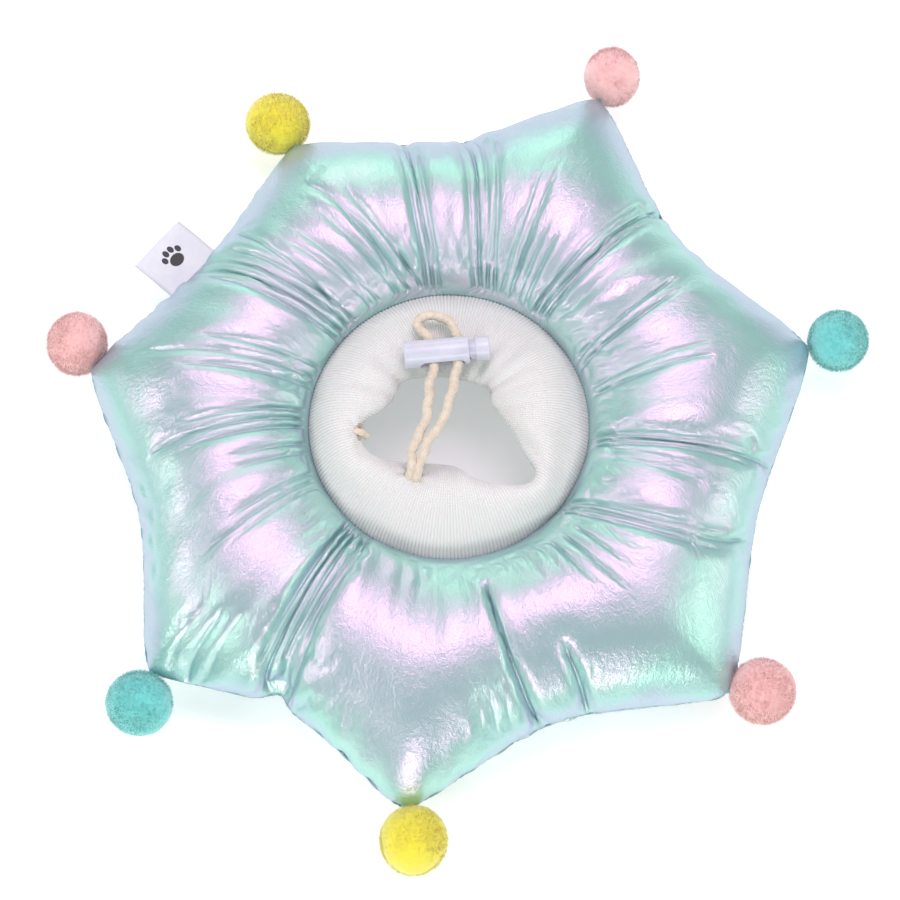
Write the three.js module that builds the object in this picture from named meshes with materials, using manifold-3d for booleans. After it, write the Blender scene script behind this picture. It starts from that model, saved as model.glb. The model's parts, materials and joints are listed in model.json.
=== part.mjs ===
// Soft padded recovery collar for a cat or small dog: a stuffed seven-pointed star ring with a
// pom-pom sewn to each point, a drawn knit neck cuff, a drawcord and a spring cord lock.
// Millimetres. +Z is up out of the face that the cuff opens to. The origin is on the neck axis,
// in the plane of the rim seam that joins the two covers.

import * as THREE from 'three';
import Module from 'manifold-3d';
import { ParametricGeometry } from 'three/addons/geometries/ParametricGeometry.js';
import { mergeVertices } from 'three/addons/utils/BufferGeometryUtils.js';

const wasm = await Module();
wasm.setup();

// ---------------------------------------------------------------- driving dimensions

// Padded ring
const NECK_RADIUS = 53; // neck seam, where the covers meet the cuff
const NECK_HEIGHT = 6; // the neck seam stands this far above the rim seam
const PUFF_UP = 20; // crown of the front cover above the seam surface
const PUFF_DOWN = 26; // depth of the back cover below the seam surface, before it flattens
const BASE = -21; // flat band that the collar rests on
const COVER = 0.8; // cover cloth, with its lining
const FILL_INSET = 1.2; // the fibre fill starts this far inside the outer surface
const SEAM_GAP = 0.6; // each cover stops this far from the seam surface, to leave room for thread
const THREAD = 0.33; // seam thread radius
const RIM_THREAD_BACK = 0.4; // the rim thread lies this far inside the tips
const NECK_THREAD_BACK = 0.1;
const THREAD_SIDES = 4;

// Star points, round the neck axis. reach is the distance from the axis to the tip, valley the
// radius midway to the next point, and lean how far the pom-pom hangs round from straight out.
const TEAL = 0x5fc4c4;
const PINK = 0xf2b6b6;
const YELLOW = 0xe4d733;
const POINTS = [
  { name: 'right', angle: 13.7, reach: 141, valley: 119.5, lean: 0, colour: TEAL },
  { name: 'top', angle: 67, reach: 150.6, valley: 120, lean: -6, colour: PINK },
  { name: 'upper_left', angle: 117, reach: 133, valley: 117.5, lean: 8, colour: YELLOW },
  { name: 'left', angle: 170, reach: 138, valley: 121.5, lean: -46, colour: PINK },
  { name: 'lower_left', angle: 220.5, reach: 143.3, valley: 124.5, lean: 30, colour: TEAL },
  { name: 'bottom', angle: 263.5, reach: 144.3, valley: 120, lean: 22, colour: YELLOW },
  { name: 'lower_right', angle: 315, reach: 143.5, valley: 121, lean: 44, colour: PINK },
];
const TIP_BLUNT = 0.07; // share of a half span over which a tip is rounded
const TIP_CURVE = 1.85; // how hollow the edge is between two tips

// Pom-poms and the thread shanks that hold them
const POMPOM_RADIUS = 11.5;
const SHANK_RADIUS = 0.9;
const SHANK_LENGTH = 1.6;
const SHANK_START = 0.3; // gap from the tip to the shank
const POMPOM_GAP = 0.3; // gap from the shank to the pom-pom

// Knit cuff: two plies folded at the hem, which holds the cord channel
const CUFF_RADIUS = NECK_RADIUS - 1.2;
const HEM_HEIGHT = 15;
const CUFF_BULGE = 10;
const PLY = 1;
const CUFF_THICKNESS = 3.4;
const CHANNEL_SWELL = 4;
// The drawn hem is uneven: [angle, radius] where it changes direction.
const HEM = [
  [0, 22], [30, 17], [75, 15.5], [118, 18.6], [150, 21.3],
  [181, 31], [209, 30.8], [241, 19], [280, 17.8], [321, 37],
];
const CORD_RADIUS = 1.7;
const CHANNEL_CORD_RADIUS = 1.3; // squeezed by the knit
// Distances back from the hem edge
const HEM_ROUND = 1.6;
const CORD_BACK = 3.9;
const CHANNEL_BACK = 6.4;
const CHANNEL_SEAM_BACK = 10;
const CHANNEL_THREAD = 0.25;
const CUFF_SIDES = 48;
const BUTTONHOLE = { width: 7, length: 3, depth: 5 };

// Drawcord tail: both strands leave one buttonhole, cross the opening and end in a pull loop
const EXIT = new THREE.Vector3(-13.2, -24.4, 22.7);
const SECOND_BUTTONHOLE = new THREE.Vector3(-34, -7.2, 20);
const SECOND_BUTTONHOLE_TURN = 10;
const TAIL_TURN = -13; // heading of the strands, from +Y
const TAIL_RISE = 5;

// Cord lock, along its own barrel axis; zero is midway between the strands
const LOCK_AT = 47.3; // distance from the buttonhole
const LOCK_TURN = 18; // barrel axis, from square across the strands
// The strands: [half spacing, distance from the buttonhole]
const STRAND = [[2.1, 0], [3, 20], [3.6, LOCK_AT], [3.9, 55], [3.1, 59.8]];
const LOOP_END = 62;
const BARREL_RADIUS = 5.15;
const BARREL_BORE = 4.05;
const BARREL_LEFT = -14.2;
const BARREL_RIGHT = 10.2;
const BARREL_WALL = 1.2;
const BARREL_SIDES = 20;
const EDGE = 0.5; // rounded outer edges
const PLUNGER_RADIUS = 3.7;
const PLUNGER_LEFT = -9.2;
const HEAD_RADIUS = 4.6;
const HEAD_START = 12.5;
const HEAD_LENGTH = 5.4;
const PRESS = 2; // plunger travel
const SLOT_HALF_WIDTH = 6.3;
const SLOT_HEIGHT = 4.3;
const SLOT_THROUGH = 40; // longer than the barrel is wide
const SLOT_PLAY = 0.3;
const SPRING_RADIUS = 2.6;
const SPRING_WIRE = 0.28;
const SPRING_TURNS = 3;

// Folded side label, sewn into the rim seam
const LABEL = { angle: 146.9, heading: 139, start: 1.4, width: 25, length: 19, ply: 0.3, gap: 0.4 };

// ---------------------------------------------------------------- helpers

const radians = THREE.MathUtils.degToRad;
const smooth = THREE.MathUtils.smoothstep;

const cloth = (color) => new THREE.MeshStandardMaterial({ color, roughness: 0.9, metalness: 0 });
const foil = new THREE.MeshPhysicalMaterial({
  color: 0x9fccca, roughness: 0.3, metalness: 0.3, iridescence: 1,
});
const knit = cloth(0xe3e4e2);
const cotton = cloth(0xece0cf);
const thread = cloth(0x7fb5b5);
const plastic = new THREE.MeshStandardMaterial({ color: 0xdfe1ee, roughness: 0.35, metalness: 0 });
const steel = new THREE.MeshStandardMaterial({ color: 0xb8bcc0, roughness: 0.3, metalness: 1 });

function named(name, geometry, material) {
  const mesh = new THREE.Mesh(geometry, material);
  mesh.name = name;
  return mesh;
}

function polar(radius, angle, height = 0) {
  return new THREE.Vector3(radius * Math.cos(angle), radius * Math.sin(angle), height);
}

// Evenly spaced angles for one full turn.
const turnAngles = (count) => Array.from({ length: count }, (_, i) => (2 * Math.PI * i) / count);

// A closed loop of [radius, height] pairs, carried round the neck axis through each angle. Seen
// with the radius to the right, the loop runs clockwise.
function sweepRound(angles, profileAt) {
  const profiles = angles.map(profileAt);
  const count = profiles[0].length;
  const place = (u, v, target) => {
    const i = Math.round(u * angles.length) % angles.length;
    const [radius, height] = profiles[i][Math.round((1 - v) * count) % count];
    target.copy(polar(radius, angles[i], height));
  };
  return new ParametricGeometry(place, angles.length, count);
}

// A closed tube round the neck axis. centreAt gives the [radius, height] of its centre line.
function loopTube(angles, centreAt, radius, sides) {
  return sweepRound(angles, (angle) => {
    const [r, height] = centreAt(angle);
    return Array.from({ length: sides }, (_, i) => {
      const turn = (-2 * Math.PI * i) / sides;
      return [r + radius * Math.cos(turn), height + radius * Math.sin(turn)];
    });
  });
}

// A solid tube with flat ends.
function openTube(path, radius, steps, sides) {
  const section = new THREE.Shape();
  section.absarc(0, 0, radius, 0, 2 * Math.PI);
  return new THREE.ExtrudeGeometry(section, { steps, curveSegments: sides, extrudePath: path });
}

function toSolid(geometry) {
  const bare = geometry.clone();
  bare.deleteAttribute('normal');
  bare.deleteAttribute('uv');
  const merged = mergeVertices(bare, 1e-4);
  return new wasm.Manifold(new wasm.Mesh({
    numProp: 3,
    vertProperties: new Float32Array(merged.attributes.position.array),
    triVerts: new Uint32Array(merged.index.array),
  }));
}

function fromSolid(solid) {
  const mesh = solid.getMesh();
  const geometry = new THREE.BufferGeometry();
  geometry.setAttribute('position', new THREE.BufferAttribute(mesh.vertProperties, 3));
  geometry.setIndex(new THREE.BufferAttribute(mesh.triVerts, 1));
  geometry.computeVertexNormals();
  return geometry;
}

function cut(geometry, ...tools) {
  return fromSolid(tools.reduce((solid, tool) => solid.subtract(toSolid(tool)), toSolid(geometry)));
}

// ---------------------------------------------------------------- star outline

function spanAt(angle) {
  const degrees = THREE.MathUtils.euclideanModulo(THREE.MathUtils.radToDeg(angle), 360);
  const last = POINTS.length - 1;
  let i = POINTS.findLastIndex((point) => point.angle <= degrees);
  if (i < 0) i = last;
  const next = POINTS[(i + 1) % POINTS.length];
  const width = THREE.MathUtils.euclideanModulo(next.angle - POINTS[i].angle, 360);
  const along = THREE.MathUtils.euclideanModulo(degrees - POINTS[i].angle, 360) / width;
  return { from: POINTS[i], to: next, along };
}

// 1 at a tip, falling to 0 in the valley.
function tipShare(fromTip) {
  const blunted = Math.hypot(fromTip, TIP_BLUNT) - TIP_BLUNT;
  const whole = Math.hypot(1, TIP_BLUNT) - TIP_BLUNT;
  return Math.max(0, 1 - blunted / whole) ** TIP_CURVE;
}

function rimRadius(angle) {
  const { from, to, along } = spanAt(angle);
  const tip = along < 0.5 ? from : to;
  const share = tipShare(2 * Math.min(along, 1 - along));
  return from.valley + (tip.reach - from.valley) * share;
}

// Angles that crowd towards each tip, where the outline turns fastest.
const STAR_ANGLES = POINTS.flatMap((point, i) => {
  const next = POINTS[(i + 1) % POINTS.length];
  const width = THREE.MathUtils.euclideanModulo(next.angle - point.angle, 360);
  const stops = [0, 0.035, 0.11, 0.23, 0.37, 0.5, 0.63, 0.77, 0.89, 0.965];
  return stops.map((stop) => radians(point.angle + stop * width));
});

// ---------------------------------------------------------------- padded ring

// Neck seam to rim seam. The back cover lies flat between the middle two.
const STATIONS = [0, 25, 55, 78, 102, 125, 155, 180].map(radians);

// One point of the ring's surface, side +1 for the front and -1 for the back.
function ringPoint(angle, station, side, inset, endGap) {
  const rim = rimRadius(angle) - inset;
  const neck = NECK_RADIUS + inset;
  const radius = (rim + neck) / 2 - ((rim - neck) / 2) * Math.cos(station);
  const seam = (NECK_HEIGHT * (1 + Math.cos(station))) / 2;
  const { along } = spanAt(angle);
  const pointed = station > Math.PI / 2 ? 0.9 + 0.5 * tipShare(2 * Math.min(along, 1 - along)) : 0.9;
  const swell = Math.max(0, Math.sin(station)) ** pointed;
  const puff = (side > 0 ? PUFF_UP : PUFF_DOWN) - inset - endGap;
  const height = seam + side * (endGap + puff * swell);
  return [radius, Math.max(height, BASE + inset)];
}

function cover(side) {
  return sweepRound(STAR_ANGLES, (angle) => {
    const outer = STATIONS.map((station) => ringPoint(angle, station, side, 0, SEAM_GAP));
    const inner = STATIONS.map((station) => ringPoint(angle, station, side, COVER, SEAM_GAP));
    const loop = [...outer, ...inner.reverse()];
    return side > 0 ? loop : loop.reverse();
  });
}

function fill() {
  const between = STATIONS.slice(1, -1);
  return sweepRound(STAR_ANGLES, (angle) => [
    ringPoint(angle, STATIONS[0], 1, 2 * FILL_INSET, 0),
    ...between.map((station) => ringPoint(angle, station, 1, FILL_INSET, 0)),
    ringPoint(angle, STATIONS.at(-1), 1, 2 * FILL_INSET, 0),
    ...between.toReversed().map((station) => ringPoint(angle, station, -1, FILL_INSET, 0)),
  ]);
}

// ---------------------------------------------------------------- knit cuff

function hemRadius(angle) {
  const degrees = THREE.MathUtils.euclideanModulo(THREE.MathUtils.radToDeg(angle), 360);
  const i = HEM.findLastIndex(([stop]) => stop <= degrees);
  const [start, from] = HEM[i];
  const [end, to] = HEM[(i + 1) % HEM.length];
  const width = THREE.MathUtils.euclideanModulo(end - start, 360);
  return from + (to - from) * smooth((degrees - start) / width, 0, 1);
}

// A point of the cuff, depth below its top face, along from the neck seam (0) to the hem (1).
function cuffPoint(angle, along, depth) {
  const at = (t) => new THREE.Vector2(
    CUFF_RADIUS + (hemRadius(angle) - CUFF_RADIUS) * t,
    NECK_HEIGHT + (HEM_HEIGHT - NECK_HEIGHT) * t + CUFF_BULGE * 4 * t * (1 - t),
  );
  const step = 0.01;
  const tangent = at(along + step).sub(at(along - step)).normalize();
  const point = at(along);
  return [point.x - tangent.y * depth, point.y + tangent.x * depth];
}

// How far along a distance back from the hem lies, where the seam is 0 and the hem is 1.
const alongFromHem = (angle, back) => 1 - back / (CUFF_RADIUS - hemRadius(angle));

function cuff() {
  const full = CUFF_THICKNESS + CHANNEL_SWELL;
  const plies = sweepRound(turnAngles(CUFF_SIDES), (angle) => {
    const seam = alongFromHem(angle, CHANNEL_SEAM_BACK);
    const stations = [
      ...[0, 1 / 3, 2 / 3, 1].map((share) => [seam * share, CUFF_THICKNESS]),
      [alongFromHem(angle, CHANNEL_BACK), full],
      [alongFromHem(angle, HEM_ROUND), full],
    ];
    const back = stations.toReversed();
    return [
      ...stations.map(([along]) => cuffPoint(angle, along, PLY)),
      cuffPoint(angle, alongFromHem(angle, PLY), full / 2),
      ...back.map(([along, thickness]) => cuffPoint(angle, along, thickness - PLY)),
      ...stations.map(([along, thickness]) => cuffPoint(angle, along, thickness)),
      cuffPoint(angle, 1, full / 2),
      ...back.map(([along]) => cuffPoint(angle, along, 0)),
    ];
  });
  const buttonhole = new THREE.BoxGeometry(BUTTONHOLE.width, BUTTONHOLE.length, BUTTONHOLE.depth);
  const first = buttonhole.clone();
  first.translate(EXIT.x, EXIT.y, EXIT.z - CORD_RADIUS);
  const second = buttonhole.clone();
  second.rotateZ(radians(SECOND_BUTTONHOLE_TURN));
  second.translate(SECOND_BUTTONHOLE.x, SECOND_BUTTONHOLE.y, SECOND_BUTTONHOLE.z);
  return cut(plies, first, second);
}

// A ring inside the cuff, set back from the hem, midway through the given thickness.
function cuffRing(back, thickness, radius, sides) {
  const centre = (angle) => cuffPoint(angle, alongFromHem(angle, back), thickness / 2);
  return loopTube(turnAngles(CUFF_SIDES), centre, radius, sides);
}

const channelSeam = () => cuffRing(CHANNEL_SEAM_BACK, CUFF_THICKNESS, CHANNEL_THREAD, THREAD_SIDES);
const hemCord = () => cuffRing(CORD_BACK, CUFF_THICKNESS + CHANNEL_SWELL, CHANNEL_CORD_RADIUS, 7);

// ---------------------------------------------------------------- drawcord tail and cord lock

function strands() {
  const points = [
    ...STRAND.map(([x, y]) => new THREE.Vector3(-x, y, 0)),
    new THREE.Vector3(0, LOOP_END, 0),
    ...STRAND.toReversed().map(([x, y]) => new THREE.Vector3(x, y, 0)),
  ];
  const path = new THREE.CatmullRomCurve3(points, false, 'centripetal');
  return openTube(path, CORD_RADIUS, 24, 8);
}

// A lathe profile of [radius, along] pairs turned about the barrel axis, local X.
function turned(profile, segments) {
  const points = profile.map(([radius, along]) => new THREE.Vector2(radius, along));
  const geometry = new THREE.LatheGeometry(points, segments);
  geometry.rotateZ(-Math.PI / 2);
  return geometry;
}

// The passage for both strands, square to the strands and so skewed across the barrel.
function cordSlot(extra) {
  const slot = new THREE.BoxGeometry(2 * SLOT_HALF_WIDTH + extra, SLOT_THROUGH, SLOT_HEIGHT);
  slot.translate(extra / 2, 0, 0);
  slot.rotateZ(radians(-LOCK_TURN));
  return slot;
}

function barrel() {
  return cut(turned([
    [0, BARREL_LEFT], [BARREL_RADIUS - EDGE, BARREL_LEFT], [BARREL_RADIUS, BARREL_LEFT + EDGE],
    [BARREL_RADIUS, BARREL_RIGHT - EDGE], [BARREL_RADIUS - EDGE, BARREL_RIGHT],
    [BARREL_BORE, BARREL_RIGHT], [BARREL_BORE, BARREL_LEFT + BARREL_WALL],
    [0, BARREL_LEFT + BARREL_WALL],
  ], BARREL_SIDES), cordSlot(0));
}

function plunger() {
  const headEnd = HEAD_START + HEAD_LENGTH;
  return cut(turned([
    [0, PLUNGER_LEFT], [PLUNGER_RADIUS, PLUNGER_LEFT], [PLUNGER_RADIUS, HEAD_START],
    [HEAD_RADIUS, HEAD_START], [HEAD_RADIUS, headEnd - EDGE], [HEAD_RADIUS - EDGE, headEnd],
    [0, headEnd],
  ], BARREL_SIDES), cordSlot(PRESS + SLOT_PLAY));
}

class Helix extends THREE.Curve {
  constructor(radius, start, length, turns) {
    super();
    Object.assign(this, { radius, start, length, turns });
  }

  getPoint(t, target = new THREE.Vector3()) {
    const turn = 2 * Math.PI * this.turns * t;
    const x = this.start + this.length * t;
    return target.set(x, this.radius * Math.cos(turn), this.radius * Math.sin(turn));
  }
}

function spring() {
  const margin = SPRING_WIRE + 0.15;
  const start = BARREL_LEFT + BARREL_WALL + margin;
  const length = PLUNGER_LEFT - margin - start;
  return openTube(new Helix(SPRING_RADIUS, start, length, SPRING_TURNS), SPRING_WIRE, 36, 5);
}

function cordTail() {
  const lock = new THREE.Group();
  lock.position.y = LOCK_AT;
  lock.rotation.z = radians(LOCK_TURN);
  lock.add(
    named('lock_barrel', barrel(), plastic),
    named('lock_plunger', plunger(), plastic),
    named('lock_spring', spring(), steel),
  );
  const tail = new THREE.Group();
  tail.position.copy(EXIT);
  tail.rotation.set(radians(TAIL_RISE), 0, radians(TAIL_TURN), 'ZYX');
  tail.add(named('cord_tail', strands(), cotton), lock);
  return tail;
}

// ---------------------------------------------------------------- label and pom-poms

// A ribbon folded in half: open at the seam end, folded at the far end.
function label() {
  const half = LABEL.gap / 2;
  const outer = half + LABEL.ply;
  const side = new THREE.Shape([
    new THREE.Vector2(0, -outer), new THREE.Vector2(LABEL.length, -outer),
    new THREE.Vector2(LABEL.length, outer), new THREE.Vector2(0, outer),
    new THREE.Vector2(0, half), new THREE.Vector2(LABEL.length - LABEL.ply, half),
    new THREE.Vector2(LABEL.length - LABEL.ply, -half), new THREE.Vector2(0, -half),
  ]);
  const ribbon = new THREE.ExtrudeGeometry(side, { depth: LABEL.width, bevelEnabled: false });
  ribbon.translate(0, 0, -LABEL.width / 2);
  ribbon.rotateX(Math.PI / 2);
  const mesh = named('side_label', ribbon, cloth(0xe6e7ee));
  const angle = radians(LABEL.angle);
  mesh.position.copy(polar(rimRadius(angle) + LABEL.start, angle));
  mesh.rotation.z = radians(LABEL.heading);
  return mesh;
}

function pompom({ name, angle, reach, lean, colour }) {
  const shank = new THREE.CylinderGeometry(SHANK_RADIUS, SHANK_RADIUS, SHANK_LENGTH, 8);
  shank.rotateZ(Math.PI / 2);
  shank.translate(SHANK_START + SHANK_LENGTH / 2, 0, 0);
  const ball = new THREE.IcosahedronGeometry(POMPOM_RADIUS, 2);
  ball.translate(SHANK_START + SHANK_LENGTH + POMPOM_GAP + POMPOM_RADIUS, 0, 0);
  const point = new THREE.Group();
  point.position.copy(polar(reach, radians(angle)));
  point.rotation.z = radians(angle + lean);
  point.add(named(`pompom_tie_${name}`, shank, thread), named(`pompom_${name}`, ball, cloth(colour)));
  return point;
}

// ---------------------------------------------------------------- assembly

const rimSeam = (angle) => [rimRadius(angle) - RIM_THREAD_BACK, 0];
const neckSeam = () => [NECK_RADIUS - NECK_THREAD_BACK, NECK_HEIGHT];

const collar = new THREE.Group();
collar.add(
  named('front_cover', cover(1), foil),
  named('back_cover', cover(-1), foil),
  named('fibre_fill', fill(), cloth(0xf4f4f2)),
  named('rim_seam_thread', loopTube(STAR_ANGLES, rimSeam, THREAD, THREAD_SIDES), thread),
  named('neck_seam_thread', loopTube(turnAngles(40), neckSeam, THREAD, THREAD_SIDES), thread),
  named('knit_cuff', cuff(), knit),
  named('channel_seam_thread', channelSeam(), knit),
  named('hem_cord', hemCord(), cotton),
  cordTail(),
  label(),
  ...POINTS.map(pompom),
);

export default collar;
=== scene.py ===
"""Soft padded recovery collar: a stuffed foil star ring, a drawn rib-knit cuff, a cord with its
lock, and a pom-pom on each point. Lengths here are millimetres until a mesh is written."""
import json
import math

import bmesh
import bpy
import numpy as np
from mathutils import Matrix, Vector


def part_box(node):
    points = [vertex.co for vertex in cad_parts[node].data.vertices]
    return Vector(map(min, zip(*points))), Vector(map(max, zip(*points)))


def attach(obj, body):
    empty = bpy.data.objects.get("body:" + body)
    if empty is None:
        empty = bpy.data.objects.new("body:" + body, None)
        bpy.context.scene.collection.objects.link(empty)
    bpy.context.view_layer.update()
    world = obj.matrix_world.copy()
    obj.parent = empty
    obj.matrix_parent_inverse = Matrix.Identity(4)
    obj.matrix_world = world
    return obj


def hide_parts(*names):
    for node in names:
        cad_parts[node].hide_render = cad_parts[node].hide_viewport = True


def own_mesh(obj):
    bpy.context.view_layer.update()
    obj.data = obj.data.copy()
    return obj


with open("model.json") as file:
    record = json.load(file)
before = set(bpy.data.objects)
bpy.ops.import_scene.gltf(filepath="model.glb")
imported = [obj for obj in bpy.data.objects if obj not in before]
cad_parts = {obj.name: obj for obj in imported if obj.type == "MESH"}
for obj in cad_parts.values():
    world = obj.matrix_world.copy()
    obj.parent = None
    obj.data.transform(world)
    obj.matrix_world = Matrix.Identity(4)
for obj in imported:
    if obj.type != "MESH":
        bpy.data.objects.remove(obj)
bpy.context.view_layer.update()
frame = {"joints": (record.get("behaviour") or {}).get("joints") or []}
JOINTS = {joint["name"]: joint for joint in frame["joints"]}
MM = 0.001


def in_mm(vector):
    return np.array(vector, float) / MM


# ---------------------------------------------------------------- driving dimensions

# Valley radius of the span that follows each point, round the ring from the right
VALLEYS = {"right": 119.5, "top": 120, "upper_left": 117.5, "left": 121.5,
           "lower_left": 124.5, "bottom": 120, "lower_right": 121}
TIPS = {name: in_mm(JOINTS[f"pompom_{name}_sway"]["pos_m"]) for name in VALLEYS}
TIP_ANGLE = np.array([math.degrees(math.atan2(t[1], t[0])) % 360 for t in TIPS.values()])
TIP_REACH = np.array([math.hypot(t[0], t[1]) for t in TIPS.values()]) + 1.2
VALLEY = np.array(list(VALLEYS.values()))
TIP_BLUNT = 0.07
TIP_CURVE = 1.85

NECK = in_mm(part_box("neck_seam_thread")[1])[0] - 0.2
NECK_Z = in_mm(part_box("neck_seam_thread")[1])[2] - 0.3
BASE = in_mm(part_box("back_cover")[0])[2]
PUFF_UP = 20
PUFF_DOWN = 26

PINCH_ANGLE = 239  # where the rim is caught in a tuck
PINCH_DEPTH = 4.5
PINCH_WIDTH = 2.4

# Bundles of folds: angle at the neck, angle at the rim, where they start and end between neck (0)
# and rim (1), strength, how many, degrees between them
FOLDS = [
    (136, 147.5, 0.0, 1.0, 1.1, 4, 3.6), (132, 138.5, 0.25, 0.85, 0.8, 1, 2),
    (104, 130, 0.04, 0.7, 0.8, 3, 5), (119, 140, 0.05, 0.6, 0.6, 2, 4),
    (96, 99, 0.0, 1.0, 1.0, 3, 2.6), (160, 171, 0.0, 0.75, 0.7, 3, 4.5),
    (178, 191, 0.05, 0.8, 0.9, 3, 3.5), (191, 199, 0.05, 0.5, 0.6, 2, 4),
    (204, 217, 0.08, 0.65, 0.7, 3, 3), (229, 238, 0.04, 1.0, 1.5, 3, 2.6),
    (236.5, 240, 0.04, 1.0, 1.2, 2, 1.8), (219, 226, 0.6, 1.0, 0.7, 3, 4),
    (279.5, 286.5, 0.3, 1.0, 1.3, 1, 2), (276, 279, 0.62, 0.97, 0.5, 3, 3.4),
    (296, 294.6, 0.6, 1.0, 1.1, 1, 2), (312, 315, 0.2, 0.55, 0.8, 3, 5),
    (321, 339.5, 0.04, 0.96, 1.1, 3, 2.4), (351.3, 352.4, 0.04, 1.0, 1.0, 3, 2.2),
    (346, 344, 0.2, 0.7, 0.5, 2, 3), (12, 16, 0.08, 0.62, 0.8, 2, 3.4),
    (25, 34.5, 0.04, 0.68, 0.9, 2, 3.4), (52, 46.5, 0.04, 1.0, 1.2, 3, 2.8),
    (60, 64, 0.04, 0.45, 0.6, 2, 4), (67, 70, 0.04, 0.6, 0.8, 2, 3.6),
    (75, 88, 0.04, 1.0, 1.0, 4, 2.8),
]

# Knit cuff
CUFF_RADIUS = 53.1
HEM_Z = 15
CUFF_BULGE = 10
# The drawn hem seen from above, counter-clockwise
HEM_OUTLINE = [
    (15, 4.5), (13.6, 10.4), (5.1, 13.2), (-6.4, 15), (-14.6, 13.6), (-18, 10.6), (-19.6, 6.2),
    (-24, 1.6), (-29.6, -1.6), (-31.4, -8.4), (-27, -14.6), (-18, -16.6), (-8, -17), (2.5, -18.3),
    (10, -23.4), (20, -26.2), (28.4, -26), (30.6, -22.4), (28.4, -15.6), (21.8, -4.9),
]
HEM_SOFTNESS = 2.2  # degrees over which a corner of the hem is rounded
CHANNEL = 10.6  # from the hem's edge to the seam that closes the cord channel
TOP_ROWS = 40
RIBS = 240
RIB_COLUMNS = 6
RIB_HEIGHT = 0.25

# Drawcord tail, in its own frame: x across, y along the strands, z up off the cuff
EXIT = in_mm(JOINTS["cord_lift"]["pos_m"])
TAIL_Y = np.array(JOINTS["lock_slide"]["axis"], float)
LOCK_AT = 47.3
CORD_RADIUS = 1.8
CORD_PATH = [
    (-1.2, -3.4, -5.6), (-1.0, -0.9, -2.2), (-1.5, 3, 0), (-1.9, 10.4, 0.3), (-0.6, 17, 0.1),
    (-0.1, 24.3, 0.2), (-1.6, 33, 0), (-1.7, 41.5, 0), (-3.2, 47, 0), (-5.9, 51.4, 0),
    (-9.7, 53.6, -1.2), (-11.4, 56.6, -2.4), (-10.2, 60, -3.2), (-6.8, 61.6, -3.6),
    (-2.6, 61.2, -3.3), (1.3, 58.9, -2.2), (3.9, 55.4, -0.9), (5.1, 51.5, 0), (6.1, 47, 0),
    (6.9, 42, 0), (6.9, 34.5, 0.1), (6.9, 26.5, 0.1), (6, 20.6, 0.2), (3.9, 15.6, 0.4),
    (2.4, 9.7, 0.4), (1.7, 3.4, 0.2), (1.3, -0.6, -2.2), (1.2, -3.2, -5.6),
]
SECOND_BUTTONHOLE = (-34, -7.2)

# ---------------------------------------------------------------- numbers along a surface


def wrap(degrees):
    return (degrees + 180) % 360 - 180


def step(x):
    x = np.clip(x, 0, 1)
    return x * x * (3 - 2 * x)


def bell(away, width):
    """A bump of height 1 that fades over width."""
    return np.exp(-(away / width) ** 2)


def unit(vectors):
    """The same directions with length 1."""
    return vectors / np.linalg.norm(vectors, axis=-1, keepdims=True)


def full_turn(count):
    """Evenly spaced angles round a circle, in radians."""
    return np.linspace(0, 2 * math.pi, count, endpoint=False)


def rim_share(angle):
    """The points on each side of an angle, and how near it is to one: 1 at a tip, 0 in a valley."""
    angle = np.mod(angle, 360)
    left = np.searchsorted(TIP_ANGLE, angle, side="right") - 1
    left = np.where(left < 0, len(TIP_ANGLE) - 1, left)
    right = (left + 1) % len(TIP_ANGLE)
    width = np.mod(TIP_ANGLE[right] - TIP_ANGLE[left], 360)
    along = np.mod(angle - TIP_ANGLE[left], 360) / width
    from_tip = 2 * np.minimum(along, 1 - along)
    whole = math.hypot(1, TIP_BLUNT) - TIP_BLUNT
    share = np.maximum(0, 1 - (np.hypot(from_tip, TIP_BLUNT) - TIP_BLUNT) / whole) ** TIP_CURVE
    return VALLEY[left], np.where(along < 0.5, TIP_REACH[left], TIP_REACH[right]), share


def rim_radius(angle):
    valley, reach, share = rim_share(angle)
    pinch = PINCH_DEPTH * bell(wrap(angle - PINCH_ANGLE), PINCH_WIDTH)
    return valley + (reach - valley) * share - pinch


def ripples(rng, angle, u, low, high, count):
    """Radial waves round the ring, each strongest over its own stretch. Its spread is 1."""
    total = np.zeros(np.broadcast(angle, u).shape)
    for _ in range(count):
        waves = rng.integers(low, high)
        height, phase, lean = rng.normal(), rng.uniform(0, 2 * math.pi), rng.uniform(-4, 4)
        centre, reach = rng.uniform(0, 360), rng.uniform(12, 50)
        here = bell(wrap(angle - centre), reach)
        total += height * np.cos(np.radians(waves * angle) + phase + lean * u) * here
    return total / total.std()


def lumps(rng, points, wavelength, count=24):
    """Smooth noise in space, with spread 1."""
    total = np.zeros(points.shape[:-1])
    for _ in range(count):
        direction = rng.normal(size=3)
        direction *= 2 * math.pi / wavelength / np.linalg.norm(direction) * rng.uniform(0.6, 1.4)
        total += rng.normal() * np.cos(points @ direction + rng.uniform(0, 2 * math.pi))
    return total / total.std()


def refine(points, axis, closed):
    """Doubles a grid of points along one axis, on a smooth curve through them."""
    points = np.moveaxis(points, axis, 0)
    if closed:
        before, after, far = np.roll(points, 1, 0), np.roll(points, -1, 0), np.roll(points, -2, 0)
        middle = (9 * (points + after) - before - far) / 16
        both = np.stack([points, middle], 1).reshape(-1, *points.shape[1:])
    else:
        padded = np.concatenate([2 * points[:1] - points[1:2], points, 2 * points[-1:] - points[-2:-1]])
        middle = (9 * (padded[1:-2] + padded[2:-1]) - padded[:-3] - padded[3:]) / 16
        both = np.empty((2 * len(points) - 1, *points.shape[1:]))
        both[::2], both[1::2] = points, middle
    return np.moveaxis(both, 0, axis)


def length_along(path):
    """How far along a path each of its points lies."""
    return np.concatenate([[0], np.cumsum(np.linalg.norm(np.diff(path, axis=0), axis=1))])


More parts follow.
